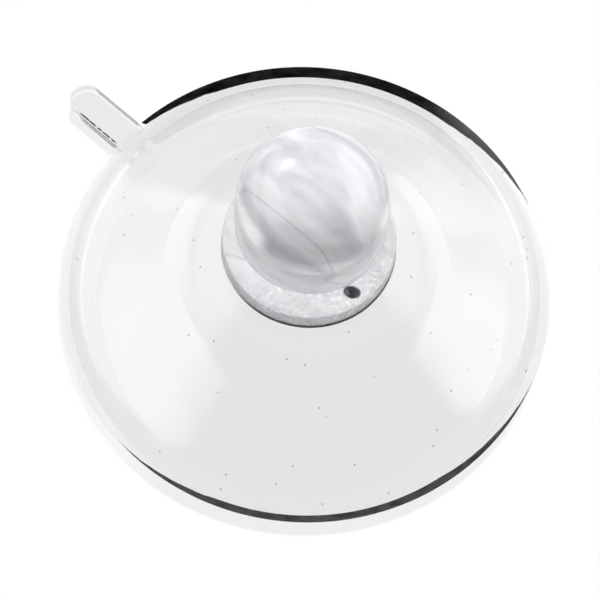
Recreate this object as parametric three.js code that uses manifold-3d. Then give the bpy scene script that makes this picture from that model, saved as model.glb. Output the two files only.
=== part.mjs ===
// Clear soft-PVC suction cup with a mushroom head, a collar and a pull tab.
//
// Units are millimetres and +Z is up. The origin is the centre of the circular
// sealing face, on the cup's axis, so the cup stands on the plane z = 0 and the
// mushroom head points up. The pull tab leaves the rim at azimuth 135 degrees.
//
// The real cup is one injection moulding. It is built here as the regions that
// the moulding bends between: the sealing lip, the dish, the collar, the neck,
// the mushroom head, the root of the tab and the tab. Regions of one moulding
// meet face to face on flat planes.

import * as THREE from 'three';
import * as BufferGeometryUtils from 'three/addons/utils/BufferGeometryUtils.js';
import Module from 'manifold-3d';

// ---------------------------------------------------------------- dimensions
const SEGMENTS = 72;            // facets round every turned region

// Sealing lip: the ring that lies on the glass. Its edge is undercut, so the
// rim is widest near the top and slopes in to the sealing band below.
const RIM_R = 22.5;             // outside radius, a 45 mm cup
const LIP_TOP_Z = 1.53;         // height of the rim's top corner
const RIM_WIDEST_Z = 1.45;      // where the undercut starts
const SEAL_BAND_OUT_R = 21.45;  // outside radius of the flat sealing band
const SEAL_BAND_IN_R = 20.34;   // inside radius of the flat sealing band
const LIP_IN_R = 18.14;         // where the underside passes the lip's top plane

// Dish: the flexible cone between the lip and the collar.
const DISH_TOP_Z = 10.1;        // plane on which the collar stands
const DISH_TOP = [              // outer surface, rim to collar foot: [r, z]
  [22.5, 1.53], [21.5, 1.86], [20.49, 2.2], [18.5, 3.42], [16.2, 4.84],
  [14.0, 6.19], [11.93, 7.47], [9.8, 8.78], [7.65, 10.1],
];
const DISH_UNDER = [            // inner surface, axis to lip: [r, z]
  [0, 8.35], [2.6, 8.28], [5.2, 8.0], [8.0, 7.6], [10.5, 6.67],
  [12.17, 5.59], [13.84, 4.51], [16.0, 3.01], [18.14, 1.53],
];
const LIP_UNDER = [             // inner surface of the lip, inside to band
  [18.14, 1.53], [19.2, 0.79], [20.34, 0],
];

// Collar: the short thick boss that stands on the dish.
const COLLAR_FOOT_R = 7.65;
const COLLAR_TOP_R = 7.5;
const COLLAR_TOP_Z = 12.4;      // the seat at the bottom of the groove
const COLLAR_ROUND = 0.4;       // radius of its upper edge
const SEAT_IN_R = 6.6;          // inside radius of the flat seat
const SEAT_RELIEF = 0.12;       // fall from the seat to the neck

// Gate pit: the shallow round mark left in the collar's shoulder.
const PIT_R = 0.52;
const PIT_DEPTH = 0.55;
const PIT_AT_R = 6.75;
const PIT_AZIMUTH_DEG = -59.5;
const PIT_LEAN_DEG = 14;

// Neck: the waist between the collar and the head, which makes the groove.
const NECK_R = 3.75;
const NECK_WAIST_R = 3.6;
const NECK_FOOT_Z = COLLAR_TOP_Z - SEAT_RELIEF;

// Mushroom head: a short cylinder with a round top.
const HEAD_R = 6.45;
const HEAD_BOTTOM_Z = 14.3;
const HEAD_ROUND = 0.75;        // radius of its lower edge
const HEAD_DOME_Z = 18.75;      // centre of the hemisphere

// Pull tab.
const TAB_AZIMUTH_DEG = 135;
const TAB_WIDTH = 3.15;
const TAB_TIP_R = 29.55;        // distance of the tip from the cup's axis
const TAB_ROOT_END_R = 24.0;    // where the bending root ends
const TAB_BOTTOM_Z = 0.25;
const TAB_THICKNESS = 1.28;     // its top is flush with the rim's corner

// ------------------------------------------------------------------- helpers
const rad = THREE.MathUtils.degToRad;

// Turns a list of [r, z] points about the Z axis. The list runs so that the
// material is on its left when r points right and z points up.
function turned(points) {
  const profile = points.map(([r, z]) => new THREE.Vector2(r, z));
  const geometry = new THREE.LatheGeometry(profile, SEGMENTS);
  geometry.rotateX(Math.PI / 2);
  return geometry;
}

// Points of a circular arc in the [r, z] plane, from one angle to another.
function arc(cr, cz, radius, fromDeg, toDeg, steps) {
  const points = [];
  for (let i = 0; i <= steps; i += 1) {
    const a = rad(fromDeg + ((toDeg - fromDeg) * i) / steps);
    points.push([cr + radius * Math.cos(a), cz + radius * Math.sin(a)]);
  }
  return points;
}

const wasm = await Module();
wasm.setup();

function solidOf(geometry) {
  const bare = geometry.clone();
  bare.deleteAttribute('normal');
  bare.deleteAttribute('uv');
  const merged = BufferGeometryUtils.mergeVertices(bare, 1e-5);
  const index = merged.index.array;
  const kept = [];
  for (let i = 0; i < index.length; i += 3) {
    const [a, b, c] = [index[i], index[i + 1], index[i + 2]];
    if (a !== b && b !== c && c !== a) kept.push(a, b, c);
  }
  return new wasm.Manifold(new wasm.Mesh({
    numProp: 3,
    vertProperties: new Float32Array(merged.attributes.position.array),
    triVerts: new Uint32Array(kept),
  }));
}

function geometryOf(solid) {
  const mesh = solid.getMesh();
  const geometry = new THREE.BufferGeometry();
  geometry.setAttribute('position', new THREE.BufferAttribute(
    new Float32Array(mesh.vertProperties), 3));
  geometry.setIndex(new THREE.BufferAttribute(
    new Uint32Array(mesh.triVerts), 1));
  geometry.computeVertexNormals();
  return geometry;
}

// ----------------------------------------------------------------- materials
// Clear soft PVC: the same compound everywhere, thin in the dish and deep in
// the collar and head, where it looks a little greyer.
function clearPvc(color, opacity, roughness) {
  return new THREE.MeshStandardMaterial({
    color, roughness, metalness: 0, transparent: true, opacity,
  });
}

const group = new THREE.Group();
function add(name, geometry, material) {
  const mesh = new THREE.Mesh(geometry, material);
  mesh.name = name;
  group.add(mesh);
  return mesh;
}

// --------------------------------------------------------------- sealing lip
// A closed ring: flat band below, undercut edge outside, the flat plane that
// the dish grows from above, and the underside's slope inside.
{
  const ring = [
    [SEAL_BAND_IN_R, 0],
    [SEAL_BAND_OUT_R, 0],
    [RIM_R, RIM_WIDEST_Z],
    [RIM_R, LIP_TOP_Z],
    [LIP_IN_R, LIP_TOP_Z],
    ...LIP_UNDER.slice(1),
  ];
  add('sealing_lip', turned(ring), clearPvc(0xe9eaec, 0.35, 0.1));
}

// -------------------------------------------------------------- suction dish
{
  const profile = [
    ...DISH_UNDER,
    ...DISH_TOP,
    [0, DISH_TOP_Z],
  ];
  add('suction_dish', turned(profile), clearPvc(0xe6e7e8, 0.3, 0.08));
}

// -------------------------------------------------------------------- collar
{
  const profile = [
    [0, DISH_TOP_Z],
    [COLLAR_FOOT_R, DISH_TOP_Z],
    ...arc(COLLAR_TOP_R - COLLAR_ROUND, COLLAR_TOP_Z - COLLAR_ROUND,
      COLLAR_ROUND, 0, 90, 5),
    [SEAT_IN_R, COLLAR_TOP_Z],
    [NECK_R, NECK_FOOT_Z],
    [0, NECK_FOOT_Z],
  ];
  const body = solidOf(turned(profile));

  const pit = new THREE.CylinderGeometry(PIT_R, PIT_R * 0.8, 2 * PIT_DEPTH, 16);
  pit.rotateX(Math.PI / 2);
  pit.rotateY(rad(PIT_LEAN_DEG));
  pit.translate(PIT_AT_R, 0, COLLAR_TOP_Z - 0.02);
  pit.rotateZ(rad(PIT_AZIMUTH_DEG));

  add('collar', geometryOf(body.subtract(solidOf(pit))),
    clearPvc(0xdfe1e4, 0.45, 0.08));
}

// ---------------------------------------------------------------------- neck
{
  const middle = (NECK_FOOT_Z + HEAD_BOTTOM_Z) / 2;
  const profile = [
    [0, NECK_FOOT_Z],
    [NECK_R, NECK_FOOT_Z],
    [NECK_WAIST_R, NECK_FOOT_Z + 0.4],
    [NECK_WAIST_R, middle],
    [NECK_WAIST_R, HEAD_BOTTOM_Z - 0.4],
    [NECK_R, HEAD_BOTTOM_Z],
    [0, HEAD_BOTTOM_Z],
  ];
  add('neck', turned(profile), clearPvc(0xdfe1e4, 0.45, 0.08));
}

// ------------------------------------------------------------- mushroom head
{
  const profile = [
    [0, HEAD_BOTTOM_Z],
    ...arc(HEAD_R - HEAD_ROUND, HEAD_BOTTOM_Z + HEAD_ROUND,
      HEAD_ROUND, -90, 0, 5),
    ...arc(0, HEAD_DOME_Z, HEAD_R, 0, 82.5, 11),
    [0, HEAD_DOME_Z + HEAD_R],
  ];
  add('mushroom_head', turned(profile), clearPvc(0xdcdfe3, 0.5, 0.07));
}

// ------------------------------------------------------- root of the pull tab
// Its inner end is cut to the rim's undercut edge, facet for facet, so that it
// meets the lip face to face.
function tabOutline(points) {
  const a = rad(TAB_AZIMUTH_DEG);
  const shape = new THREE.Shape();
  points.forEach(([u, v], i) => {
    const x = u * Math.cos(a) - v * Math.sin(a);
    const y = u * Math.sin(a) + v * Math.cos(a);
    if (i === 0) shape.moveTo(x, y); else shape.lineTo(x, y);
  });
  shape.closePath();
  return shape;
}

{
  const half = TAB_WIDTH / 2;
  const inner = SEAL_BAND_OUT_R - 1;
  const points = [
    [inner, -half], [TAB_ROOT_END_R, -half],
    [TAB_ROOT_END_R, half], [inner, half],
  ];
  const strip = new THREE.ExtrudeGeometry(tabOutline(points), {
    depth: TAB_THICKNESS, bevelEnabled: false, steps: 1,
  });
  strip.translate(0, 0, TAB_BOTTOM_Z);

  const slope = (RIM_R - SEAL_BAND_OUT_R) / RIM_WIDEST_Z;
  const rim = turned([
    [0, -0.5],
    [SEAL_BAND_OUT_R - 0.5 * slope, -0.5],
    [RIM_R, RIM_WIDEST_Z],
    [RIM_R, RIM_WIDEST_Z + 2],
    [0, RIM_WIDEST_Z + 2],
  ]);
  add('tab_root', geometryOf(solidOf(strip).subtract(solidOf(rim))),
    clearPvc(0xe9eaec, 0.35, 0.1));
}

// ------------------------------------------------------------------ pull tab
{
  const half = TAB_WIDTH / 2;
  const centre = TAB_TIP_R - half;
  const points = [[TAB_ROOT_END_R, -half]];
  for (let i = 0; i <= 16; i += 1) {
    const a = rad(-90 + (180 * i) / 16);
    points.push([centre + half * Math.cos(a), half * Math.sin(a)]);
  }
  points.push([TAB_ROOT_END_R, half]);
  const geometry = new THREE.ExtrudeGeometry(tabOutline(points), {
    depth: TAB_THICKNESS, bevelEnabled: false, steps: 1,
  });
  geometry.translate(0, 0, TAB_BOTTOM_Z);
  add('pull_tab', geometry, clearPvc(0xe9eaec, 0.4, 0.1));
}

export default group;
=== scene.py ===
"""Clear soft-PVC suction cup with a mushroom head, on a pale table."""
import bpy
import math
import random
import numpy as np
from mathutils import Matrix, Vector


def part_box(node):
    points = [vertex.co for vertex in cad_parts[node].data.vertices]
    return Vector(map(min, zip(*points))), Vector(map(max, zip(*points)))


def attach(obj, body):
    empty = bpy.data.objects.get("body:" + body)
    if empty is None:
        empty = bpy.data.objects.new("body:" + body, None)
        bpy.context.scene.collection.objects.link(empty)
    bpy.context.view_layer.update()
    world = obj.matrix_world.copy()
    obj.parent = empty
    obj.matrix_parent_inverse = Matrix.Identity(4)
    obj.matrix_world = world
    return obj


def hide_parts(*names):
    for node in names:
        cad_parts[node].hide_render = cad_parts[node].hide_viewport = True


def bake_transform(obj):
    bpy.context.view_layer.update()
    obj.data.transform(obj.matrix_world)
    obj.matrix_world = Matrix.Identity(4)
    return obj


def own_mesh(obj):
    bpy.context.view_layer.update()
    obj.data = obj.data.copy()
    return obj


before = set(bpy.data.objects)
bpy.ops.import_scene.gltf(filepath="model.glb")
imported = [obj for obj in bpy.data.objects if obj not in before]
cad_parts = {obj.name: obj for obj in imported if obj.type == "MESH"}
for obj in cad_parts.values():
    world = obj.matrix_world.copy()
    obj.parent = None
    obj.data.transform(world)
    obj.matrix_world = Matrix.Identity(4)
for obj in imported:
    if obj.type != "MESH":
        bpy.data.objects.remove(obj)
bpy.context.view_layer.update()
MM = 0.001
random.seed(7)

# ------------------------------------------------------------ sizes, from the CAD
RIM_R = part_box("suction_dish")[1].x / MM
LIP_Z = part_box("suction_dish")[0].z / MM
FOOT_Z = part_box("suction_dish")[1].z / MM
NECK_Z0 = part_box("neck")[0].z / MM
NECK_Z1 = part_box("neck")[1].z / MM
HEAD_Z1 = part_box("mushroom_head")[1].z / MM
SEAT_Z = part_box("collar")[1].z / MM
TAB_Z0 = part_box("pull_tab")[0].z / MM
TAB_Z1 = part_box("pull_tab")[1].z / MM
TAB_AZ = math.radians(135)
TAB_HALF = 1.575
TAB_TIP = 29.55
TAB_SPLIT = 24.0


# ------------------------------------------------------------------ mesh helpers
def spline(points, step=0.3):
    """A smooth curve through the points (centripetal Catmull-Rom)."""
    p = [np.array(q, float) for q in points]
    p = [2 * p[0] - p[1]] + p + [2 * p[-1] - p[-2]]
    out = []
    for i in range(1, len(p) - 2):
        a, b, c, d = p[i - 1:i + 3]
        t0 = 0.0
        t1 = t0 + max(np.linalg.norm(b - a), 1e-9) ** 0.5
        t2 = t1 + max(np.linalg.norm(c - b), 1e-9) ** 0.5
        t3 = t2 + max(np.linalg.norm(d - c), 1e-9) ** 0.5
        n = max(2, int(math.ceil(np.linalg.norm(c - b) / step)))
        for k in range(n):
            t = t1 + (t2 - t1) * k / n
            a1 = (t1 - t) / (t1 - t0) * a + (t - t0) / (t1 - t0) * b
            a2 = (t2 - t) / (t2 - t1) * b + (t - t1) / (t2 - t1) * c
            a3 = (t3 - t) / (t3 - t2) * c + (t - t2) / (t3 - t2) * d
            b1 = (t2 - t) / (t2 - t0) * a1 + (t - t0) / (t2 - t0) * a2
            b2 = (t3 - t) / (t3 - t1) * a2 + (t - t1) / (t3 - t1) * a3
            out.append(tuple((t2 - t) / (t2 - t1) * b1 + (t - t1) / (t2 - t1) * b2))
    out.append(tuple(points[-1]))
    return out


def arc(cr, cz, radius, a0, a1, steps):
    return [(cr + radius * math.cos(math.radians(a0 + (a1 - a0) * i / steps)),
             cz + radius * math.sin(math.radians(a0 + (a1 - a0) * i / steps)))
            for i in range(steps + 1)]


def mesh_object(name, verts, faces, mats, slots, sharp=28.0):
    """A closed mesh in millimetres; slots gives each face's material."""
    mesh = bpy.data.meshes.new(name)
    mesh.from_pydata([(x * MM, y * MM, z * MM) for x, y, z in verts], [], faces)
    for m in mats:
        mesh.materials.append(m)
    mesh.polygons.foreach_set("material_index", slots)
    mesh.polygons.foreach_set("use_smooth", [True] * len(faces))
    mesh.update()
    mesh.set_sharp_from_angle(angle=math.radians(sharp))
    obj = bpy.data.objects.new(name, mesh)
    bpy.context.scene.collection.objects.link(obj)
    return obj


TURNS = 320
ANGLES = sorted([2 * math.pi * i / TURNS for i in range(TURNS)
                 if abs(2 * math.pi * i / TURNS - TAB_AZ) > 0.074
                 or abs(2 * math.pi * i / TURNS - TAB_AZ) < 0.064]
                + [TAB_AZ - math.asin(TAB_HALF / RIM_R), TAB_AZ + math.asin(TAB_HALF / RIM_R)])


def turned(name, loop, mats, slot_of, sharp=28.0, face_slot=None):
    """Turns a closed loop of (r, z) points about Z. slot_of[i] is the slot of the
    band from point i to point i+1; a band along the axis makes no faces."""
    n = len(ANGLES)
    verts, rows = [], []
    for r, z in loop:
        if r < 1e-6:
            rows.append([len(verts)])
            verts.append((0.0, 0.0, z))
        else:
            rows.append(list(range(len(verts), len(verts) + n)))
            verts += [(r * math.cos(a), r * math.sin(a), z) for a in ANGLES]
    faces, slots = [], []
    for i in range(len(loop)):
        a, b = rows[i], rows[(i + 1) % len(loop)]
        if len(a) == 1 and len(b) == 1:
            continue
        for k in range(n):
            j = (k + 1) % n
            if len(a) == 1:
                f = (a[0], b[j], b[k])
            elif len(b) == 1:
                f = (a[k], a[j], b[0])
            else:
                f = (a[k], a[j], b[j], b[k])
            faces.append(f)
            slots.append(slot_of[i] if face_slot is None else face_slot(i, k, slot_of[i]))
    return mesh_object(name, verts, faces, mats, slots, sharp)


# --------------------------------------------------------------------- materials
def new_material(name):
    m = bpy.data.materials.new(name)
    m.use_nodes = True
    m.node_tree.nodes.clear()
    return m, m.node_tree


def node(nt, kind, **values):
    n = nt.nodes.new(kind)
    for k, v in values.items():
        if isinstance(v, (int, float, str, bool)) and hasattr(n, k):
            setattr(n, k, v)
    return n


def link(nt, a, b):
    nt.links.new(a, b)


def ramp(nt, fac, stops):
    r = nt.nodes.new("ShaderNodeValToRGB")
    e = r.color_ramp.elements
    while len(e) > 1:
        e.remove(e[-1])
    e[0].position, e[0].color = stops[0][0], (*stops[0][1],) if len(stops[0][1]) == 4 else (*stops[0][1], 1)
    for pos, col in stops[1:]:
        s = e.new(pos)
        s.color = col if len(col) == 4 else (*col, 1)
    link(nt, fac, r.inputs[0])
    return r.outputs[0]


def grey(v):
    return (v, v, v, 1)


def clear_pvc(name, tint, rough, shadow, flow=0.0, flow_scale=90.0, speck=0.0, ripple=0.02, painted_edge_lines=None):
    """Clear soft PVC. flow: strength of moulding flow lines; speck: dust on the
    skin; ripple: slight waviness of the moulded surface."""
    m, nt = new_material(name)
    out = node(nt, "ShaderNodeOutputMaterial")
    p = node(nt, "ShaderNodeBsdfPrincipled")
    p.inputs["Transmission Weight"].default_value = 1.0
    p.inputs["IOR"].default_value = 1.53
    p.inputs["Metallic"].default_value = 0.0
    co = node(nt, "ShaderNodeTexCoord").outputs["Object"]

    # skin: polished, with faint haze where it has been handled
    haze = node(nt, "ShaderNodeTexNoise")
    haze.inputs["Scale"].default_value = 260
    haze.inputs["Detail"].default_value = 4
    link(nt, co, haze.inputs["Vector"])
    link(nt, ramp(nt, haze.outputs["Fac"], [(0.35, grey(rough)), (0.75, grey(rough * 2.2))]),
         p.inputs["Roughness"])

    # colour: nearly clear, with dust specks and faint streaks
    colour = None
    streak = node(nt, "ShaderNodeTexNoise")
    streak.inputs["Scale"].default_value = 45
    streak.inputs["Detail"].default_value = 3
    link(nt, co, streak.inputs["Vector"])
    colour = ramp(nt, streak.outputs["Fac"],
                  [(0.3, (tint[0] * 0.992, tint[1] * 0.992, tint[2] * 0.993)), (0.7, tint)])
    if speck:
        vor = node(nt, "ShaderNodeTexVoronoi")
        vor.inputs["Scale"].default_value = 700
        link(nt, co, vor.inputs["Vector"])
        pick = node(nt, "ShaderNodeSeparateColor")
        link(nt, vor.outputs["Color"], pick.inputs[0])
        few = ramp(nt, pick.outputs[0], [(0.0, grey(1)), (speck, grey(1)), (speck + 0.001, grey(0)), (1.0, grey(0))])
        dot = ramp(nt, vor.outputs["Distance"], [(0.0, grey(1)), (0.04, grey(1)), (0.06, grey(0)), (1.0, grey(0))])
        mul = node(nt, "ShaderNodeMath")
        mul.operation = "MULTIPLY"
        link(nt, few, mul.inputs[0])
        link(nt, dot, mul.inputs[1])
        mix = nt.nodes.new("ShaderNodeMix")
        mix.data_type = "RGBA"
        link(nt, mul.outputs[0], mix.inputs[0])
        link(nt, colour, mix.inputs[6])
        mix.inputs[7].default_value = (0.03, 0.03, 0.035, 1)
        colour = mix.outputs[2]
    if painted_edge_lines is not None:
        # painted shade: dark lines along given edges, standing in for the dark reflections that clear edges give
        painted_edge_shade = None
        for (cx, cy), (dx, dy), half_len, half_w, strength, gaps in painted_edge_lines:
            along = nt.nodes.new("ShaderNodeVectorMath")
            along.operation = "DOT_PRODUCT"
            link(nt, co, along.inputs[0])
            along.inputs[1].default_value = (dx, dy, 0)
            across = nt.nodes.new("ShaderNodeVectorMath")
            across.operation = "DOT_PRODUCT"
            link(nt, co, across.inputs[0])
            across.inputs[1].default_value = (-dy, dx, 0)
            a0 = (cx * dx + cy * dy) * MM
            c0 = (-cx * dy + cy * dx) * MM
            s_len = math_in(nt, "DIVIDE", math_in(nt, "ABSOLUTE", math_in(nt, "SUBTRACT", along.outputs["Value"], a0), 0.0), half_len * MM)
            s_wid = math_in(nt, "DIVIDE", math_in(nt, "ABSOLUTE", math_in(nt, "SUBTRACT", across.outputs["Value"], c0), 0.0), half_w * MM)
            bits = node(nt, "ShaderNodeTexNoise")
            bits.inputs["Scale"].default_value = 1500
            link(nt, co, bits.inputs["Vector"])
            line = math_in(nt, "MULTIPLY", ramp(nt, s_len, [(0.0, grey(strength)), (0.8, grey(strength)), (1.0, grey(0))]),
                           ramp(nt, s_wid, [(0.0, grey(1)), (0.6, grey(1)), (1.0, grey(0))]))
            line = math_in(nt, "MULTIPLY", line, ramp(nt, bits.outputs["Fac"], [(gaps, grey(0)), (gaps + 0.06, grey(1))]))
            painted_edge_shade = line if painted_edge_shade is None else math_in(nt, "MAXIMUM", painted_edge_shade, line)
        mix = nt.nodes.new("ShaderNodeMix")
        mix.data_type = "RGBA"
        link(nt, painted_edge_shade, mix.inputs[0])
        link(nt, colour, mix.inputs[6])
        mix.inputs[7].default_value = (0.02, 0.02, 0.022, 1)
        colour = mix.outputs[2]
        link(nt, math_in(nt, "SUBTRACT", 1.0, math_in(nt, "MULTIPLY", painted_edge_shade, 0.9)), p.inputs["Transmission Weight"])
    link(nt, colour, p.inputs["Base Color"])

    # relief: slight waviness, and flow lines where the moulding is thick
    wave = node(nt, "ShaderNodeTexNoise")
    wave.inputs["Scale"].default_value = 70
    wave.inputs["Detail"].default_value = 2
    link(nt, co, wave.inputs["Vector"])
    bump = node(nt, "ShaderNodeBump")
    bump.inputs["Strength"].default_value = 1.0
    bump.inputs["Distance"].default_value = ripple * MM
    link(nt, wave.outputs["Fac"], bump.inputs["Height"])
    last = bump
    if flow:
        mp = node(nt, "ShaderNodeMapping")
        mp.inputs["Rotation"].default_value = (0.3, 0.5, math.radians(-35))
        mp.inputs["Scale"].default_value = (1.0, 3.2, 1.6)
        link(nt, co, mp.inputs["Vector"])
        fl = node(nt, "ShaderNodeTexNoise")
        fl.inputs["Scale"].default_value = flow_scale
        fl.inputs["Detail"].default_value = 3
        fl.inputs["Distortion"].default_value = 1.4
        link(nt, mp.outputs[0], fl.inputs["Vector"])
        b2 = node(nt, "ShaderNodeBump")
        b2.inputs["Strength"].default_value = 1.0
        b2.inputs["Distance"].default_value = flow * MM
        link(nt, fl.outputs["Fac"], b2.inputs["Height"])
        link(nt, bump.outputs[0], b2.inputs["Normal"])
        last = b2
    link(nt, last.outputs[0], p.inputs["Normal"])

    # lamps reach through, a little dimmed
    lp = node(nt, "ShaderNodeLightPath")
    tr = node(nt, "ShaderNodeBsdfTransparent")
    tr.inputs[0].default_value = grey(shadow)
    mx = node(nt, "ShaderNodeMixShader")
    link(nt, lp.outputs["Is Shadow Ray"], mx.inputs[0])
    link(nt, p.outputs[0], mx.inputs[1])
    link(nt, tr.outputs[0], mx.inputs[2])
    link(nt, mx.outputs[0], out.inputs[0])
    return m


def streaks(nt, co, scale, along, distortion, detail, seed):
    """Noise drawn out along the flow of the melt, so that it reads as streaks."""
    d = Vector((0.73, -0.65, -0.22)).normalized()
    e = d.cross(Vector((0, 0, 1))).normalized()
    g = d.cross(e)
    parts = []
    for v, k in ((d, along), (e, 1.0), (g, 1.0)):
        n = nt.nodes.new("ShaderNodeVectorMath")
        n.operation = "DOT_PRODUCT"
        link(nt, co, n.inputs[0])
        n.inputs[1].default_value = v * k
        parts.append(n.outputs["Value"])
    c = nt.nodes.new("ShaderNodeCombineXYZ")
    for i in range(3):
        link(nt, parts[i], c.inputs[i])
    add = nt.nodes.new("ShaderNodeVectorMath")
    add.operation = "ADD"
    link(nt, c.outputs[0], add.inputs[0])
    add.inputs[1].default_value = (seed, seed * 0.7, seed * 1.3)
    n = nt.nodes.new("ShaderNodeTexNoise")
    n.inputs["Scale"].default_value = scale
    n.inputs["Detail"].default_value = detail
    n.inputs["Roughness"].default_value = 0.45
    n.inputs["Distortion"].default_value = distortion
    link(nt, add.outputs[0], n.inputs["Vector"])
    return n.outputs["Fac"]


def milky_pvc(name, clear_lo, clear_hi, dark, light, rough, wave_mm, shadow=0.995, pit=None, foot=None):
    """Thick clear PVC: slightly milky, with soft streaks frozen in as it filled
    the mould, and faint waves on its skin."""
    m, nt = new_material(name)
    out = node(nt, "ShaderNodeOutputMaterial")
    p = node(nt, "ShaderNodeBsdfPrincipled")
    p.inputs["IOR"].default_value = 1.53
    p.inputs["Metallic"].default_value = 0.0
    co = node(nt, "ShaderNodeTexCoord").outputs["Object"]
    s1 = streaks(nt, co, 330, 0.22, 0.5, 3, 0.013)
    s2 = streaks(nt, co, 190, 0.3, 0.9, 2, 0.071)
    colour = ramp(nt, s1, [(0.36, dark), (0.47, tuple((x + y) / 2 for x, y in zip(dark, light))),
                           (0.55, light), (0.62, tuple(x * 0.94 for x in light)), (0.72, light)])
    # fine lines along the flow
    s3 = streaks(nt, co, 120, 0.3, 0.7, 1.5, 0.047)
    near_line = math_in(nt, "ABSOLUTE", math_in(nt, "SUBTRACT", s3, 0.5), 0.0)
    line = ramp(nt, near_line, [(0.0, grey(0.4)), (0.006, grey(0.25)), (0.014, grey(0.0)), (1.0, grey(0.0))])
    mixl = nt.nodes.new("ShaderNodeMix")
    mixl.data_type = "RGBA"
    link(nt, line, mixl.inputs[0])
    link(nt, colour, mixl.inputs[6])
    mixl.inputs[7].default_value = (0.3, 0.3, 0.34, 1)
    colour = mixl.outputs[2]
    clear = ramp(nt, s2, [(0.35, grey(clear_lo)), (0.65, grey(clear_hi))])
    if foot is not None:
        # tiny bubbles, and painted shade in the crease round the foot, on the front only
        sp = node(nt, "ShaderNodeSeparateXYZ")
        link(nt, co, sp.inputs[0])
        az = math_in(nt, "MULTIPLY", math_in(nt, "ARCTAN2", sp.outputs[1], sp.outputs[0]), 180 / math.pi)
        off = math_in(nt, "ABSOLUTE", math_in(nt, "SUBTRACT", az, -82.0), 0.0)
        front = ramp(nt, math_in(nt, "DIVIDE", off, 90.0), [(0.0, grey(1)), (0.55, grey(0.9)), (0.8, grey(0)), (1.0, grey(0))])
        cells = nt.nodes.new("ShaderNodeTexVoronoi")
        cells.inputs["Scale"].default_value = 3600
        link(nt, co, cells.inputs["Vector"])
        pick = node(nt, "ShaderNodeSeparateColor")
        link(nt, cells.outputs["Color"], pick.inputs[0])
        fine = ramp(nt, pick.outputs[0], [(0.0, (0.42, 0.42, 0.45)), (0.5, (0.62, 0.62, 0.66)), (0.8, (0.72, 0.72, 0.75)), (0.95, (1.0, 1.0, 1.0))])
        low = ramp(nt, math_in(nt, "DIVIDE", math_in(nt, "SUBTRACT", sp.outputs[2], foot * MM), 2.3 * MM),
                   [(0.0, grey(1)), (0.85, grey(0.95)), (0.99, grey(0.8)), (1.0, grey(0.8))])
        mixb = nt.nodes.new("ShaderNodeMix")
        mixb.data_type = "RGBA"
        link(nt, math_in(nt, "MULTIPLY", math_in(nt, "MULTIPLY", low, front), 0.75), mixb.inputs[0])
        link(nt, colour, mixb.inputs[6])
        link(nt, fine, mixb.inputs[7])
        colour = mixb.outputs[2]
        # painted shade: near-black and opaque in the crease at the foot, fading away from the front
        crease_shade = ramp(nt, math_in(nt, "DIVIDE", math_in(nt, "SUBTRACT", sp.outputs[2], foot * MM), 0.3 * MM),
                      [(0.0, grey(1)), (0.75, grey(1)), (1.0, grey(0))])
        crease_shade = math_in(nt, "MULTIPLY", crease_shade, front)
        mixc = nt.nodes.new("ShaderNodeMix")
        mixc.data_type = "RGBA"
        link(nt, crease_shade, mixc.inputs[0])
        link(nt, colour, mixc.inputs[6])
        mixc.inputs[7].default_value = (0.01, 0.01, 0.012, 1)
        colour = mixc.outputs[2]
        clear = math_in(nt, "MULTIPLY", clear, math_in(nt, "SUBTRACT", 1.0, crease_shade))
    if pit is not None:
        # painted shade: the gate pit painted near black and opaque, as shade in the recess
        turn = node(nt, "ShaderNodeMapping")
        turn.vector_type = "TEXTURE"
        turn.inputs["Location"].default_value = tuple(x * MM for x in pit)
        turn.inputs["Rotation"].default_value = (0, 0, PIT_TURN)
        turn.inputs["Scale"].default_value = (1.15, 0.85, 1.4)
        link(nt, co, turn.inputs["Vector"])
        n = nt.nodes.new("ShaderNodeVectorMath")
        n.operation = "LENGTH"
        link(nt, turn.outputs[0], n.inputs[0])
        d = math_in(nt, "MULTIPLY", n.outputs["Value"], 1 / (PIT_R * MM))
        pit_shade = ramp(nt, d, [(0.0, grey(1)), (0.8, grey(0.95)), (1.0, grey(0))])
        clear = math_in(nt, "MULTIPLY", clear, math_in(nt, "SUBTRACT", 1.0, pit_shade))
        mix = nt.nodes.new("ShaderNodeMix")
        mix.data_type = "RGBA"
        link(nt, pit_shade, mix.inputs[0])
        link(nt, colour, mix.inputs[6])
        mix.inputs[7].default_value = (0.03, 0.03, 0.035, 1)
        colour = mix.outputs[2]
    link(nt, colour, p.inputs["Base Color"])
    p.inputs["Subsurface Weight"].default_value = 1.0
    p.inputs["Subsurface Radius"].default_value = (1.0, 1.0, 1.0)
    p.inputs["Subsurface Scale"].default_value = 5 * MM
    link(nt, clear, p.inputs["Transmission Weight"])
    haze = node(nt, "ShaderNodeTexNoise")
    haze.inputs["Scale"].default_value = 400
    haze.inputs["Detail"].default_value = 4
    link(nt, co, haze.inputs["Vector"])
    link(nt, ramp(nt, haze.outputs["Fac"], [(0.35, grey(rough)), (0.75, grey(rough * 1.8))]),
         p.inputs["Roughness"])
    bump = node(nt, "ShaderNodeBump")
    bump.inputs["Strength"].default_value = 1.0
    bump.inputs["Distance"].default_value = wave_mm * MM
    link(nt, s2, bump.inputs["Height"])
    link(nt, bump.outputs[0], p.inputs["Normal"])
    lp = node(nt, "ShaderNodeLightPath")
    tr = node(nt, "ShaderNodeBsdfTransparent")
    tr.inputs[0].default_value = grey(shadow)
    mx = node(nt, "ShaderNodeMixShader")
    link(nt, lp.outputs["Is Shadow Ray"], mx.inputs[0])
    link(nt, p.outputs[0], mx.inputs[1])
    link(nt, tr.outputs[0], mx.inputs[2])
    link(nt, mx.outputs[0], out.inputs[0])
    return m


def math_in(nt, op, a, b):
    n = nt.nodes.new("ShaderNodeMath")
    n.operation = op
    for i, x in enumerate((a, b)):
        if isinstance(x, (int, float)):
            n.inputs[i].default_value = x
        else:
            link(nt, x, n.inputs[i])
    return n.outputs[0]


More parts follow.
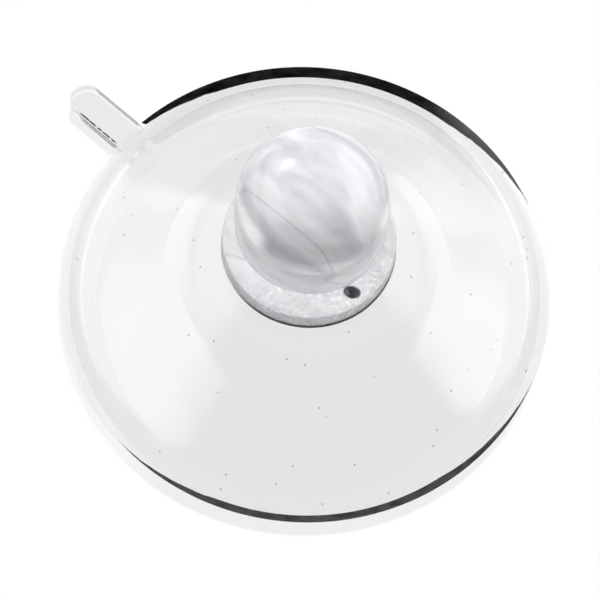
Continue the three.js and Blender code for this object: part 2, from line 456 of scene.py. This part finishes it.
def cut_edge(name, widest):
    """The undercut face of the clear rim. Two dark crescents that taper stand in for
    the dark reflections a real undercut edge gives; elsewhere the face lets light
    straight through. They are fixed to the object, by azimuth and height."""
    m, nt = new_material(name)
    out = node(nt, "ShaderNodeOutputMaterial")
    co = node(nt, "ShaderNodeTexCoord").outputs["Object"]
    sp = node(nt, "ShaderNodeSeparateXYZ")
    link(nt, co, sp.inputs[0])
    az = math_in(nt, "MULTIPLY", math_in(nt, "ARCTAN2", sp.outputs[1], sp.outputs[0]), 180 / math.pi)
    z = math_in(nt, "MULTIPLY", sp.outputs[2], 1 / (widest * MM))
    painted_shade_noise_tex = node(nt, "ShaderNodeTexNoise")
    painted_shade_noise_tex.inputs["Scale"].default_value = 900
    painted_shade_noise_tex.inputs["Detail"].default_value = 4
    link(nt, co, painted_shade_noise_tex.inputs["Vector"])
    painted_shade_noise = painted_shade_noise_tex.outputs["Fac"]

    def crescent(centre, left, right, power):
        """1 in the middle of the arc, falling to 0 at its ends."""
        d = wrap(math_in(nt, "SUBTRACT", az, centre))
        up = math_in(nt, "GREATER_THAN", d, 0.0)
        half = math_in(nt, "ADD", right, math_in(nt, "MULTIPLY", up, left - right))
        d = math_in(nt, "ABSOLUTE", d, 0.0)
        t = math_in(nt, "MAXIMUM", math_in(nt, "SUBTRACT", 1.0, math_in(nt, "DIVIDE", d, half)), 0.0)
        return math_in(nt, "POWER", t, power)

    def wrap(d):
        n = nt.nodes.new("ShaderNodeMath")
        n.operation = "WRAP"
        link(nt, d, n.inputs[0])
        n.inputs[1].default_value = 180.0
        n.inputs[2].default_value = -180.0
        return n.outputs[0]

    def smooth(x, lo, hi):
        n = nt.nodes.new("ShaderNodeMapRange")
        n.interpolation_type = "SMOOTHSTEP"
        link(nt, x, n.inputs[0])
        n.inputs[1].default_value = lo
        n.inputs[2].default_value = hi
        return n.outputs[0]

    # the far arc stops at the tab; the near one is wider on the right
    far = math_in(nt, "MULTIPLY", crescent(FAR_AZ, 76.0, 58.0, 1.0), math_in(nt, "SUBTRACT", 1.0, smooth(az, 129.5, 131.0)))
    near = crescent(NEAR_AZ, 64.0, 53.0, 1.0)
    arc_t = math_in(nt, "MAXIMUM", far, near)
    edge = math_in(nt, "ADD", arc_t, math_in(nt, "MULTIPLY", math_in(nt, "SUBTRACT", painted_shade_noise, 0.5), 0.12))
    within = smooth(math_in(nt, "SUBTRACT", math_in(nt, "MULTIPLY", edge, 1.9), math_in(nt, "SUBTRACT", 1.0, z)),
                    0.0, 0.12)
    # painted shade: near-black crescents on the undercut face, standing in for the dark reflections of the clear rim
    dark = math_in(nt, "MULTIPLY", within, smooth(arc_t, 0.0, 0.06))
    dark = math_in(nt, "MULTIPLY", dark, ramp(nt, painted_shade_noise, [(0.35, grey(1.0)), (0.62, grey(0.985))]))
    # lifts the painted shade a little, in flecks, on the near arc
    painted_shade_lift = math_in(nt, "MULTIPLY", smooth(near, 0.0, 0.05), ramp(nt, painted_shade_noise, [(0.42, grey(0.035)), (0.56, grey(0.06))]))
    dark = math_in(nt, "MULTIPLY", dark, math_in(nt, "SUBTRACT", 1.0, painted_shade_lift))

    # painted shade: the near-black surface shown where the crescents are
    painted_shade_bsdf = node(nt, "ShaderNodeBsdfPrincipled")
    painted_shade_bsdf.inputs["IOR"].default_value = 1.53
    link(nt, ramp(nt, painted_shade_noise, [(0.3, grey(0.001)), (0.7, grey(0.006))]), painted_shade_bsdf.inputs["Base Color"])
    painted_shade_bsdf.inputs["Specular IOR Level"].default_value = 0.05
    painted_shade_bsdf.inputs["Roughness"].default_value = 0.5
    bump = node(nt, "ShaderNodeBump")
    bump.inputs["Distance"].default_value = 0.01 * MM
    link(nt, painted_shade_noise, bump.inputs["Height"])
    link(nt, bump.outputs[0], painted_shade_bsdf.inputs["Normal"])
    plain = node(nt, "ShaderNodeBsdfTransparent")
    plain.inputs[0].default_value = grey(0.985)
    mix2 = node(nt, "ShaderNodeMixShader")
    link(nt, dark, mix2.inputs[0])
    link(nt, plain.outputs[0], mix2.inputs[1])
    link(nt, painted_shade_bsdf.outputs[0], mix2.inputs[2])
    lp = node(nt, "ShaderNodeLightPath")
    tr = node(nt, "ShaderNodeBsdfTransparent")
    link(nt, ramp(nt, arc_t, [(0.0, grey(1.0)), (0.3, grey(0.925))]), tr.inputs[0])
    mx = node(nt, "ShaderNodeMixShader")
    link(nt, lp.outputs["Is Shadow Ray"], mx.inputs[0])
    link(nt, mix2.outputs[0], mx.inputs[1])
    link(nt, tr.outputs[0], mx.inputs[2])
    link(nt, mx.outputs[0], out.inputs[0])
    return m


def join_face(name, shadow=1.0):
    """Where two regions of the one moulding meet: nothing there to see."""
    m, nt = new_material(name)
    out = node(nt, "ShaderNodeOutputMaterial")
    tr = node(nt, "ShaderNodeBsdfTransparent")
    tr.inputs[0].default_value = grey(1)
    if shadow < 1.0:
        lp = node(nt, "ShaderNodeLightPath")
        link(nt, ramp(nt, lp.outputs["Is Shadow Ray"], [(0.0, grey(1)), (1.0, grey(shadow))]), tr.inputs[0])
    link(nt, tr.outputs[0], out.inputs[0])
    return m


FAR_AZ, NEAR_AZ = 73.4, -89.6                          # middles of the dark arcs on the rim
THIN = clear_pvc("clear_pvc_thin", (0.985, 0.988, 0.99), 0.012, 0.925, speck=0.6, ripple=0.006)
PIT_R = 0.75                                           # small gate pit on the collar's edge
PIT_TURN = math.radians(-20)
PIT = (6.33 * math.cos(math.radians(-58.8)), 6.33 * math.sin(math.radians(-58.8)), SEAT_Z - 0.1)
THICK = milky_pvc("clear_pvc_thick", 0.12, 0.42, (0.55, 0.55, 0.6), (0.75, 0.75, 0.775), 0.12, 0.1, shadow=1.0)
COLLAR = milky_pvc("clear_pvc_collar", 0.35, 0.75, (0.68, 0.68, 0.73), (0.9, 0.9, 0.92), 0.08, 0.08,
                   shadow=1.0, pit=PIT, foot=FOOT_Z)
TAB_DIR = (math.cos(TAB_AZ), math.sin(TAB_AZ))


def on_tab(u, v):
    return (u * TAB_DIR[0] - v * TAB_DIR[1], u * TAB_DIR[1] + v * TAB_DIR[0])


# painted shade: two dark lines along the tab's long edges, standing in for the dark reflections of its clear edges
TABM = clear_pvc("clear_pvc_tab", (0.985, 0.988, 0.99), 0.02, 0.925, ripple=0.01,
                 painted_edge_lines=[(on_tab(25.1, 1.42), TAB_DIR, 2.7, 0.1, 1.0, 0.4),
                       (on_tab(25.3, -1.55), TAB_DIR, 3.2, 0.045, 0.6, 0.1)])
JOIN = join_face("within_the_moulding")
UNDER_FOOT = join_face("within_the_moulding_foot", 0.925)
CUT = cut_edge("clear_pvc_cut_edge", 1.453)

# ------------------------------------------------------------------ sealing lip
BAND_OUT, BAND_IN, WIDEST_Z = 21.453, 20.342, 1.453
EDGE = [(BAND_OUT - 0.02, 0.0), (BAND_OUT + 0.012, 0.016), (22.488, WIDEST_Z - 0.016), (22.5, WIDEST_Z + 0.012),
        (22.5, LIP_Z - 0.05), (22.488, LIP_Z)]         # undercut edge, from the band to the top corner
WALL = 0.694                                           # slope of the cavity's wall


def under_at(z):
    """Radius of the cavity's straight outer wall at height z."""
    return BAND_IN - z / WALL


lip_loop = [(BAND_IN, 0.0)] + EDGE
lip_slots = [0] * len(lip_loop)
lip_slots[-1] = 1                                     # the plane under the dish
for i in (2, 3):
    lip_slots[i] = 2                                  # the undercut
lip_in = [(under_at(z), z) for z in (LIP_Z, 1.2, 0.9, 0.6, 0.3)]
lip_loop += lip_in
lip_slots += [0] * len(lip_in)


def lip_patch(i, k, s):
    a = (ANGLES[k] + ANGLES[(k + 1) % len(ANGLES)]) / 2
    z = (lip_loop[i][1] + lip_loop[(i + 1) % len(lip_loop)][1]) / 2
    r = lip_loop[i][0]
    if abs(a - TAB_AZ) < math.asin(TAB_HALF / RIM_R) and r > BAND_OUT and z > TAB_Z0:
        return 1
    return s


def row_z(loop, slots, z, lo, hi):
    """Adds a row at height z to the band between loop points lo and hi."""
    (r0, z0), (r1, z1) = loop[lo], loop[hi]
    t = (z - z0) / (z1 - z0)
    loop.insert(hi, (r0 + (r1 - r0) * t, z))
    slots.insert(hi, slots[lo])


# rows at the tab's bottom and top, so that the tab's seat is whole faces
i_low = [i for i, q in enumerate(lip_loop) if abs(q[1] - 0.016) < 1e-6][0]
row_z(lip_loop, lip_slots, TAB_Z0, i_low, i_low + 1)
lip = turned("sealing_lip_clear", lip_loop, [THIN, JOIN, CUT], lip_slots, face_slot=lip_patch)
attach(lip, "cup")
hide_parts("sealing_lip")

# ------------------------------------------------------------------ suction dish
K_TOP = (FOOT_Z - 2.197) / (20.487 - 7.65)


def top_at(r):
    return 2.197 + (20.487 - r) * K_TOP


top = spline([(22.3, 1.601), (21.393, 1.897), (20.487, 2.197), (16.208, top_at(16.208)), (11.929, top_at(11.929)),
              (7.65, FOOT_Z)], 0.6)
under = (spline([(0, 8.35), (2.6, 8.28), (5.2, 8.0), (7.6, 7.62), (9.6, 7.02),
                 (under_at(6.1), 6.1)], 0.4)
         + [(under_at(z), z) for z in (5.4, 4.6, 3.8, 3.1, 2.3, LIP_Z)])
dish_loop = under + [(22.488, LIP_Z), (22.44, 1.551)] + top + [(0, FOOT_Z)]
dish_slots = [0] * len(dish_loop)
dish_slots[len(under) - 1] = 1
dish_slots[len(under) + 2 + len(top) - 1] = 2
dish = turned("suction_dish_clear", dish_loop, [THIN, JOIN, UNDER_FOOT], dish_slots)
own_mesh(dish)
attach(dish, "cup")
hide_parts("suction_dish")

# ------------------------------------------------------------------------ collar
inner_seat = [(6.6 - 0.15 * i, SEAT_Z - (SEAT_Z - NECK_Z0) * (0.15 * i) / (6.6 - 3.75)) for i in range(1, 10)]
collar_loop = ([(0, FOOT_Z), (7.65, FOOT_Z), (7.56, FOOT_Z + 0.12), (7.52, FOOT_Z + 0.3)]
               + arc(7.5 - 0.4, SEAT_Z - 0.4, 0.4, 0, 90, 10)
               + [(6.95, SEAT_Z), (6.8, SEAT_Z), (6.6, SEAT_Z)] + inner_seat + [(3.75, NECK_Z0), (0, NECK_Z0)])
collar_slots = [0] * len(collar_loop)
collar_slots[0] = 1
collar_slots[-2] = 1
collar = turned("collar_clear", collar_loop, [COLLAR, JOIN], collar_slots)
for v in collar.data.vertices:                         # the gate pit
    d = math.hypot(v.co.x / MM - PIT[0], v.co.y / MM - PIT[1]) / PIT_R
    if v.co.z / MM > SEAT_Z - 0.5 and d < 1:
        v.co.z -= 0.4 * (1 - d * d) ** 2 * MM
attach(collar, "boss")
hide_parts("collar")

# -------------------------------------------------------------------------- neck
mid = (NECK_Z0 + NECK_Z1) / 2
neck_lo_loop = [(0, NECK_Z0), (3.75, NECK_Z0), (3.66, NECK_Z0 + 0.12), (3.61, NECK_Z0 + 0.28),
                (3.6, NECK_Z0 + 0.45), (3.6, mid), (0, mid)]
neck_lo = turned("neck_lower_clear", neck_lo_loop, [THICK, JOIN], [1, 0, 0, 0, 0, 1, 0])
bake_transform(neck_lo)
neck_hi_loop = [(0, mid), (3.6, mid), (3.6, NECK_Z1 - 0.45), (3.61, NECK_Z1 - 0.28),
                (3.66, NECK_Z1 - 0.12), (3.75, NECK_Z1), (0, NECK_Z1)]
neck_hi = turned("neck_upper_clear", neck_hi_loop, [THICK, JOIN], [1, 0, 0, 0, 0, 1, 0])
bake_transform(neck_hi)
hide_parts("neck")
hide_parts("neck")

# ----------------------------------------------------------------- mushroom head
HR = 6.45
HEAD_DOME = HEAD_Z1 - HR
head_loop = ([(0, NECK_Z1), (3.75, NECK_Z1)]
             + arc(HR - 0.75, NECK_Z1 + 0.75, 0.75, -90, 0, 12)
             + arc(0, HEAD_DOME, HR, 0, 90, 60)[:-1] + [(0, HEAD_Z1)])
head_slots = [0] * len(head_loop)
head_slots[0] = 1
head = turned("mushroom_head_clear", head_loop, [THICK, JOIN], head_slots)
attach(head, "knob")
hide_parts("mushroom_head")


# ----------------------------------------------------------------------- pull tab
def tab_section(u, half):
    """Corner points of the tab's outline at distance u: (u, v)."""
    return (u, half)


def strip(name, rings, mats, first_slot, last_slot, slots_mid):
    """Lofts closed rings of points into a capped strip."""
    n = len(rings[0])
    verts = [v for ring in rings for v in ring]
    faces, slots = [], []
    for i in range(len(rings) - 1):
        for k in range(n):
            j = (k + 1) % n
            faces.append((i * n + k, i * n + j, (i + 1) * n + j, (i + 1) * n + k))
            slots.append(slots_mid)
    faces.append(tuple(reversed(range(n))))
    slots.append(first_slot)
    faces.append(tuple((len(rings) - 1) * n + k for k in range(n)))
    slots.append(last_slot)
    return mesh_object(name, verts, faces, mats, slots, sharp=25)


UNDER = 0.05                                           # draft of the tab's edge
BEV = 0.05


def edge_ring(u, half, inset=0.0):
    """Cross-section of the tab at u, as (v, z), anticlockwise seen from the root."""
    h = half - inset
    return [(-h + UNDER, TAB_Z0), (h - UNDER, TAB_Z0), (h - 0.02, TAB_Z1 - 0.16), (h, TAB_Z1 - BEV),
            (h - BEV, TAB_Z1), (-h + BEV, TAB_Z1), (-h, TAB_Z1 - BEV), (-h + 0.02, TAB_Z1 - 0.16)]


def tab_point(u, v, z):
    c, s = math.cos(TAB_AZ), math.sin(TAB_AZ)
    return (u * c - v * s, u * s + v * c, z)


def lip_r(z):
    """Radius of the lip's undercut edge at height z."""
    pts = EDGE[1:]
    for (r0, z0), (r1, z1) in zip(pts, pts[1:]):
        if z0 <= z <= z1:
            return r0 + (r1 - r0) * (z - z0) / (z1 - z0)
    return 22.5


root_rings = []
inner = []
for v, z in edge_ring(0, TAB_HALF):
    r = lip_r(z)
    a = math.asin(v / r)
    inner.append(tab_point(r * math.cos(a), v, z))
root_rings.append(inner)
for u in (22.75, 23.0, 23.25, 23.5, 23.75, TAB_SPLIT):
    root_rings.append([tab_point(u, v, z) for v, z in edge_ring(u, TAB_HALF)])
root = strip("tab_root_clear", root_rings, [TABM, JOIN], 1, 1, 0)
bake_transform(root)
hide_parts("tab_root")


def tab_mesh():
    """The flat tab with a round tip: concentric outlines, undercut edge."""
    centre = TAB_TIP - TAB_HALF
    outline = []                                       # (u, v, nu, nv) round the free edge
    for u in np.linspace(TAB_SPLIT, centre, 24)[:-1]:
        outline.append((u, -TAB_HALF, 0, -1))
    for i in range(49):
        a = math.radians(-90 + 180 * i / 48)
        outline.append((centre + TAB_HALF * math.cos(a), TAB_HALF * math.sin(a), math.cos(a), math.sin(a)))
    for u in np.linspace(centre, TAB_SPLIT, 24)[1:]:
        outline.append((u, TAB_HALF, 0, 1))
    levels = [(UNDER, TAB_Z0), (0.02, TAB_Z1 - 0.16), (0.0, TAB_Z1 - BEV), (BEV, TAB_Z1)]
    n = len(outline)
    verts, faces, slots = [], [], []
    for inset, z in levels:
        for u, v, nu, nv in outline:
            verts.append(tab_point(u - nu * inset, v - nv * inset, z))
    for i in range(len(levels) - 1):
        for k in range(n - 1):
            faces.append((i * n + k, i * n + k + 1, (i + 1) * n + k + 1, (i + 1) * n + k))
            slots.append(0)
    faces.append(tuple(reversed(range(n))))            # bottom
    slots.append(0)
    faces.append(tuple((len(levels) - 1) * n + k for k in range(n)))
    slots.append(0)
    end = [i * n for i in range(len(levels))] + [i * n + n - 1 for i in reversed(range(len(levels)))]
    faces.append(tuple(end))
    slots.append(1)
    return mesh_object("pull_tab_clear", verts, faces, [TABM, JOIN], slots, sharp=25)


tab = tab_mesh()
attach(tab, "tab")
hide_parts("pull_tab")

import bmesh
for o in (lip, dish, collar, neck_lo, neck_hi, head, root, tab):
    bm = bmesh.new()
    bm.from_mesh(o.data)
    bmesh.ops.recalc_face_normals(bm, faces=bm.faces)
    open_edges = sum(1 for e in bm.edges if len(e.link_faces) != 2)
    vol = bm.calc_volume()
    print("PIECE", o.name, len(bm.faces), "open", open_edges, "vol mm3", round(vol * 1e9, 1))
    bm.to_mesh(o.data)
    bm.free()

# ------------------------------------------------------------------------ camera
TH, RHO = math.radians(68.4), math.radians(4.6)
U0, V0, DIST, PX = 305.0, 289.0, 160.0, 10.80
f = PX * DIST
spin = math.radians(-7.6)                              # photograph's azimuth to the part's
fwd = Vector((0, math.cos(TH), -math.sin(TH)))
right = Vector((1, 0, 0))
up = right.cross(fwd)
r2 = math.cos(RHO) * right + math.sin(RHO) * up
u2 = -math.sin(RHO) * right + math.cos(RHO) * up
pos = -(fwd * DIST + r2 * ((U0 - 300) / f * DIST) - u2 * ((V0 - 300) / f * DIST))
rot = Matrix.Rotation(spin, 3, "Z")
cam_data = bpy.data.cameras.new("camera")
cam = bpy.data.objects.new("camera", cam_data)
bpy.context.scene.collection.objects.link(cam)
cam_data.sensor_width = 36
cam_data.lens = f * 36 / 600
cam_data.clip_start = 0.005
cam_data.clip_end = 20
m3 = Matrix((rot @ r2, rot @ u2, rot @ -fwd)).transposed()
cam.matrix_world = Matrix.Translation((rot @ pos) * MM) @ m3.to_4x4()
bpy.context.scene.camera = cam

# ------------------------------------------------------------------------- floor
fm, nt = new_material("pale_table")
out = node(nt, "ShaderNodeOutputMaterial")
d = node(nt, "ShaderNodeBsdfDiffuse")
nz = node(nt, "ShaderNodeTexNoise")
nz.inputs["Scale"].default_value = 30
nz.inputs["Detail"].default_value = 6
link(nt, node(nt, "ShaderNodeTexCoord").outputs["Object"], nz.inputs["Vector"])
link(nt, ramp(nt, nz.outputs["Fac"], [(0.3, grey(0.895)), (0.7, grey(0.905))]), d.inputs["Color"])
link(nt, d.outputs[0], out.inputs[0])
bpy.ops.mesh.primitive_circle_add(vertices=96, radius=3.0, fill_type="NGON", location=(0, 0, -0.00002))
floor = bpy.context.object
floor.name = "table"
floor.data.materials.append(fm)

# ------------------------------------------------------------------------ lights
def direction(az, el):
    """Unit vector towards an azimuth and elevation of the photograph's frame."""
    a, e = math.radians(az - 7.6), math.radians(el)
    return Vector((math.cos(a) * math.cos(e), math.sin(a) * math.cos(e), math.sin(e)))


sun = bpy.data.lights.new("key", "SUN")
sun.angle = math.radians(7)
KEY_EL = 62
sun.energy = math.pi / 0.9 / math.sin(math.radians(KEY_EL))
so = bpy.data.objects.new("key", sun)
bpy.context.scene.collection.objects.link(so)
so.visible_glossy = False
so.visible_transmission = False
so.rotation_euler = direction(80, KEY_EL).to_track_quat("Z", "Y").to_euler()

# a low soft fill from the front, for the thick pieces only
thick = bpy.data.collections.new("thick_pieces")
for o in (head, neck_lo, neck_hi, collar):
    thick.objects.link(o)
fill = bpy.data.lights.new("fill", "SUN")
fill.angle = math.radians(40)
fill.energy = 1.25
fill.use_shadow = False
fo = bpy.data.objects.new("fill", fill)
bpy.context.scene.collection.objects.link(fo)
fo.visible_glossy = False
fo.visible_transmission = False
fo.rotation_euler = direction(-85, 30).to_track_quat("Z", "Y").to_euler()
fo.light_linking.receiver_collection = thick

# the small window that glints on the head
dome = bpy.data.collections.new("head_only")
dome.objects.link(head)
glint = bpy.data.lights.new("glint", "SUN")
glint.angle = math.radians(13)
glint.energy = 0.55
glint.diffuse_factor = 0.0
glint.transmission_factor = 0.0
glint.use_shadow = False
go = bpy.data.objects.new("glint", glint)
bpy.context.scene.collection.objects.link(go)
go.rotation_euler = direction(134, 36.5).to_track_quat("Z", "Y").to_euler()
go.light_linking.receiver_collection = dome

world = bpy.data.worlds.new("studio")
bpy.context.scene.world = world
world.use_nodes = True
nt = world.node_tree
nt.nodes.clear()
wo = node(nt, "ShaderNodeOutputWorld")
bg = node(nt, "ShaderNodeBackground")
link(nt, bg.outputs[0], wo.inputs[0])
co = node(nt, "ShaderNodeTexCoord").outputs["Generated"]


def math_node(op, a, b=None, c=None):
    n = nt.nodes.new("ShaderNodeMath")
    n.operation = op
    for i, x in enumerate((a, b, c)):
        if x is None:
            continue
        if isinstance(x, (int, float)):
            n.inputs[i].default_value = x
        else:
            link(nt, x, n.inputs[i])
    return n.outputs[0]


def step_node(x, lo, hi, soft):
    """1 where lo < x < hi, with soft edges."""
    def edge(v, at, s):
        n = nt.nodes.new("ShaderNodeMapRange")
        n.interpolation_type = "SMOOTHSTEP"
        link(nt, v, n.inputs[0])
        n.inputs[1].default_value = at - s
        n.inputs[2].default_value = at + s
        n.inputs[3].default_value = 0
        n.inputs[4].default_value = 1
        return n.outputs[0]
    a = edge(x, lo, soft)
    b = edge(x, hi, soft)
    return math_node("MULTIPLY", a, math_node("SUBTRACT", 1.0, b))


def patch(az, el, half_w, half_h, soft, value, tilt=0.0):
    """A soft rectangle of light about one direction, with half sizes in degrees."""
    d0 = direction(az, el)
    side = Vector((0, 0, 1)).cross(d0).normalized()
    upv = d0.cross(side)
    t = math.radians(tilt)
    side, upv = side * math.cos(t) + upv * math.sin(t), upv * math.cos(t) - side * math.sin(t)

    def dot(v):
        n = nt.nodes.new("ShaderNodeVectorMath")
        n.operation = "DOT_PRODUCT"
        link(nt, co, n.inputs[0])
        n.inputs[1].default_value = v
        return n.outputs["Value"]
    front = math_node("MAXIMUM", dot(d0), 0.02)
    x = math_node("DIVIDE", dot(side), front)
    y = math_node("DIVIDE", dot(upv), front)
    w, h = math.tan(math.radians(half_w)), math.tan(math.radians(half_h))
    m = math_node("MULTIPLY", step_node(x, -w, w, soft), step_node(y, -h, h, soft))
    m = math_node("MULTIPLY", m, math_node("GREATER_THAN", dot(d0), 0.05))
    return math_node("MULTIPLY", m, value)


sep = node(nt, "ShaderNodeSeparateXYZ")
link(nt, co, sep.inputs[0])
def el(deg):
    return math.sin(math.radians(deg))


# by height: a pale low wall all round, dark above it, a lit ceiling at the back
low = ramp(nt, sep.outputs[2], [(0.0, grey(0.5)), (el(11), grey(0.5)), (el(15), grey(0.012)), (1.0, grey(0.012))])
high = ramp(nt, sep.outputs[2], [(0.0, grey(0.0)), (el(49), grey(0.0)), (el(56), grey(1.0)), (1.0, grey(1.0))])
back = nt.nodes.new("ShaderNodeVectorMath")
back.operation = "DOT_PRODUCT"
link(nt, co, back.inputs[0])
back.inputs[1].default_value = direction(90, 0)
behind = ramp(nt, math_node("MULTIPLY_ADD", back.outputs["Value"], 0.5, 0.5),
              [(0.0, grey(0.02)), (0.33, grey(0.03)), (0.5, grey(0.1)), (0.62, grey(0.6)), (1.0, grey(0.6))])
base = math_node("ADD", low, math_node("MULTIPLY", high, behind))
total = base
for args in ((178, 27, 44, 16, 0.12, 1.9), (25, 22, 40, 15, 0.12, 1.9)):
    total = math_node("ADD", total, patch(*args))
comb = node(nt, "ShaderNodeCombineColor")
for i in range(3):
    link(nt, total, comb.inputs[i])
link(nt, comb.outputs[0], bg.inputs[0])
bg.inputs[1].default_value = 1.0
world.cycles_visibility.diffuse = False

# ------------------------------------------------------------------------ output
sc = bpy.context.scene
sc.view_settings.view_transform = "Standard"
sc.view_settings.look = "None"
sc.cycles.max_bounces = 32
sc.cycles.transmission_bounces = 32
sc.cycles.glossy_bounces = 24
sc.cycles.transparent_max_bounces = 32
sc.cycles.diffuse_bounces = 3
sc.cycles.caustics_reflective = False
sc.cycles.caustics_refractive = False
